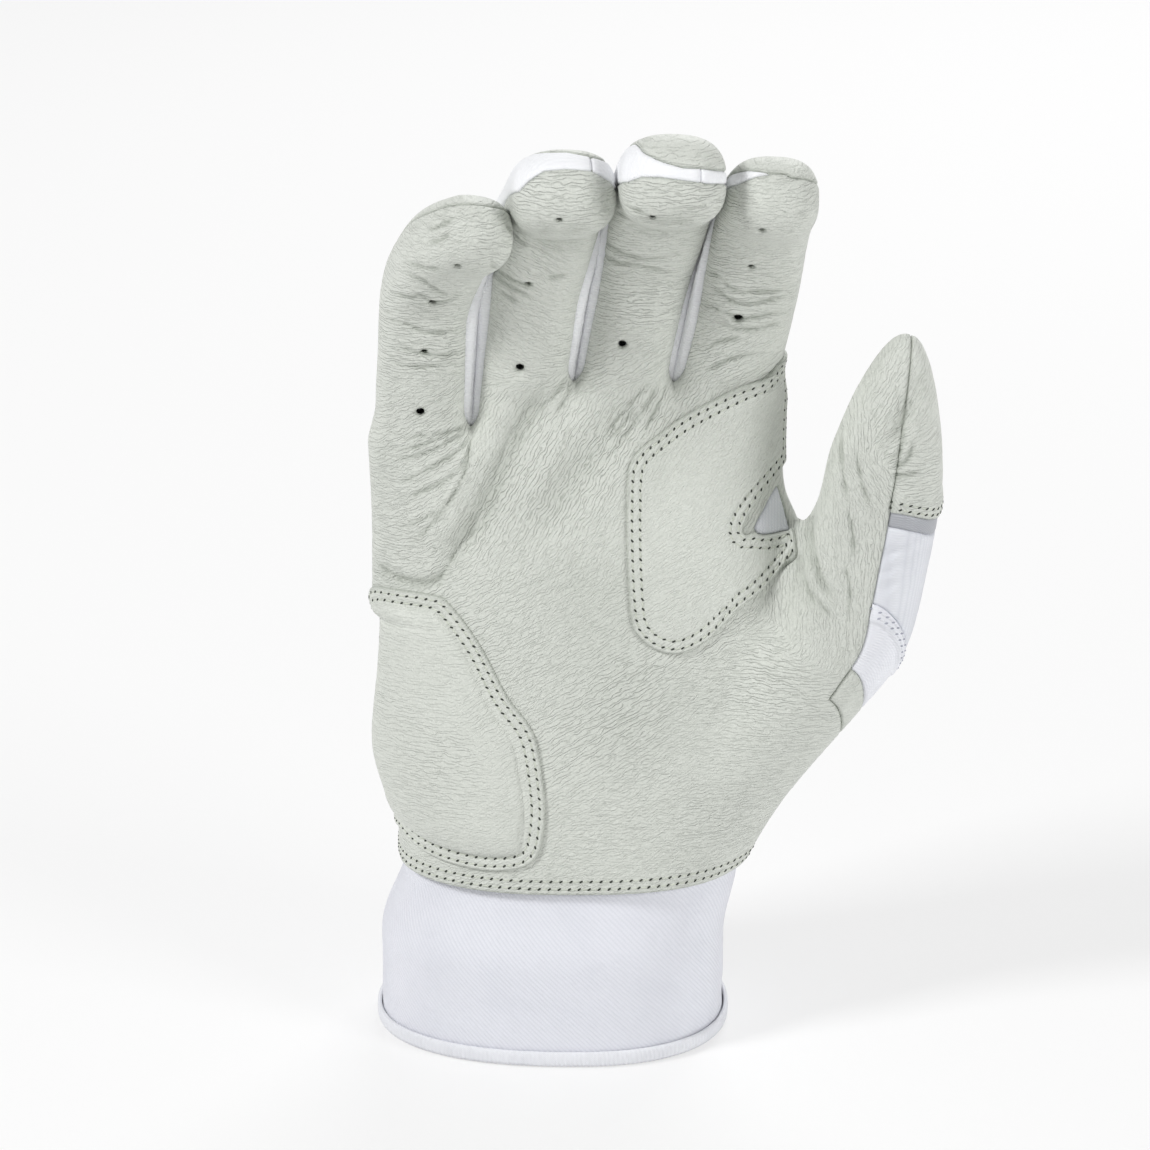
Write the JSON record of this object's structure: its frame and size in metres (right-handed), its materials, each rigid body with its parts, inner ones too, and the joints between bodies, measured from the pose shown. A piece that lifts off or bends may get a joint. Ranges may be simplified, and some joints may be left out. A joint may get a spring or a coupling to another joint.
{
  "type": "batting glove",
  "caption": "Right-hand batting glove of pale leather and white fabric, standing on its cuff with curled fingers and a hook-and-loop wrist strap.",
  "frame": {"origin": "middle of the bounding box's floor, under the cuff", "axes": "+Z from the cuff to the fingertips, -Y out of the palm, +X towards the thumb"},
  "size_m": [0.1308, 0.0818, 0.229],
  "materials": {
    "palm_leather": "soft tanned sheepskin, fine grain, pale grey-green",
    "patch_leather": "soft tanned sheepskin, fine grain, sewn on",
    "back_leather": "soft tanned sheepskin, fine grain",
    "stretch_fabric": "white knitted stretch fabric",
    "rib_fabric": "white ribbed stretch fabric",
    "back_fabric": "white knitted mesh",
    "padded_fabric": "white fabric over thin foam",
    "silver_trim": "silver grey woven stripe",
    "foam": "soft closed-cell foam, hidden under the heel patch",
    "cuff_fabric": "white twill knit, doubled",
    "binding": "white ribbed binding tape",
    "strap_fabric": "white laminated fabric",
    "loop_tape": "white loop pile",
    "hook_tape": "white nylon hooks",
    "tab_rubber": "moulded grip tab, matte"
  },
  "bodies": {
    "glove": {"palm_leather": "palm_leather", "palm_patch": "patch_leather", "heel_patch": "patch_leather", "thumb_cap": "back_leather", "thumb_tab": "back_leather", "little_back": "back_leather", "ring_back": "back_leather", "middle_back": "back_leather", "index_back": "back_leather", "little_ring_fork": "stretch_fabric", "ring_middle_fork": "stretch_fabric", "middle_index_fork": "stretch_fabric", "web_gusset": "stretch_fabric", "knuckle_band": "rib_fabric", "back_panel": "back_fabric", "thumb_base_panel": "padded_fabric", "thumb_stretch_panel": "stretch_fabric", "thumb_stripe": "silver_trim", "heel_pad": "foam", "cuff_band": "cuff_fabric", "cuff_binding": "binding", "wrist_gusset": "stretch_fabric", "loop_patch": "loop_tape"},
    "strap": {"closure_strap": "strap_fabric", "hook_patch": "hook_tape", "pull_tab": "tab_rubber"}
  },
  "joints": [
    {"name": "strap_hinge", "type": "hinge", "parent": "glove", "child": "strap", "pos_m": [-0.05719, 0.02236, 0.022], "axis": [0, 0, 1], "range_deg": [0, 120]}
  ]
}
